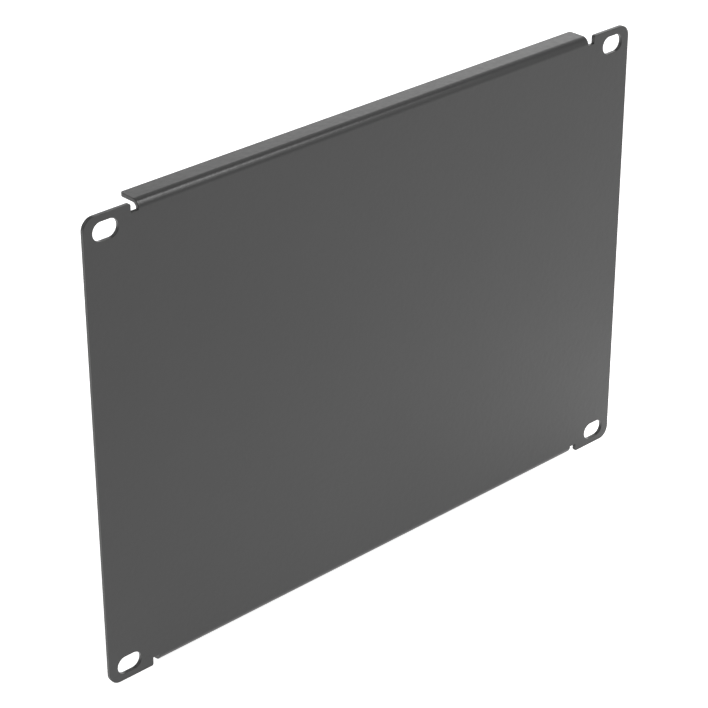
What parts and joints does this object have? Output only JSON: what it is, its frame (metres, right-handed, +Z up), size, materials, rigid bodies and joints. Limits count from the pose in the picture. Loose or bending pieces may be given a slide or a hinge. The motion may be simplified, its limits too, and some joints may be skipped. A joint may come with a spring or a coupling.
{
  "type": "rack blanking panel",
  "caption": "Plain folded steel panel with slotted ears that closes off an empty space at the front of a small equipment rack.",
  "frame": {"origin": "centre of the fixing slots on the back face of the ears, which seats on the rack's rails", "axes": "+X across the panel to the right as seen from the front, +Y into the rack, +Z up"},
  "size_m": [0.254, 0.0095, 0.177],
  "materials": {
    "powder_coated_steel": "dark grey powder coat, satin, with a fine even texture"
  },
  "bodies": {
    "root": {"blanking_panel": "powder_coated_steel"}
  },
  "joints": []
}
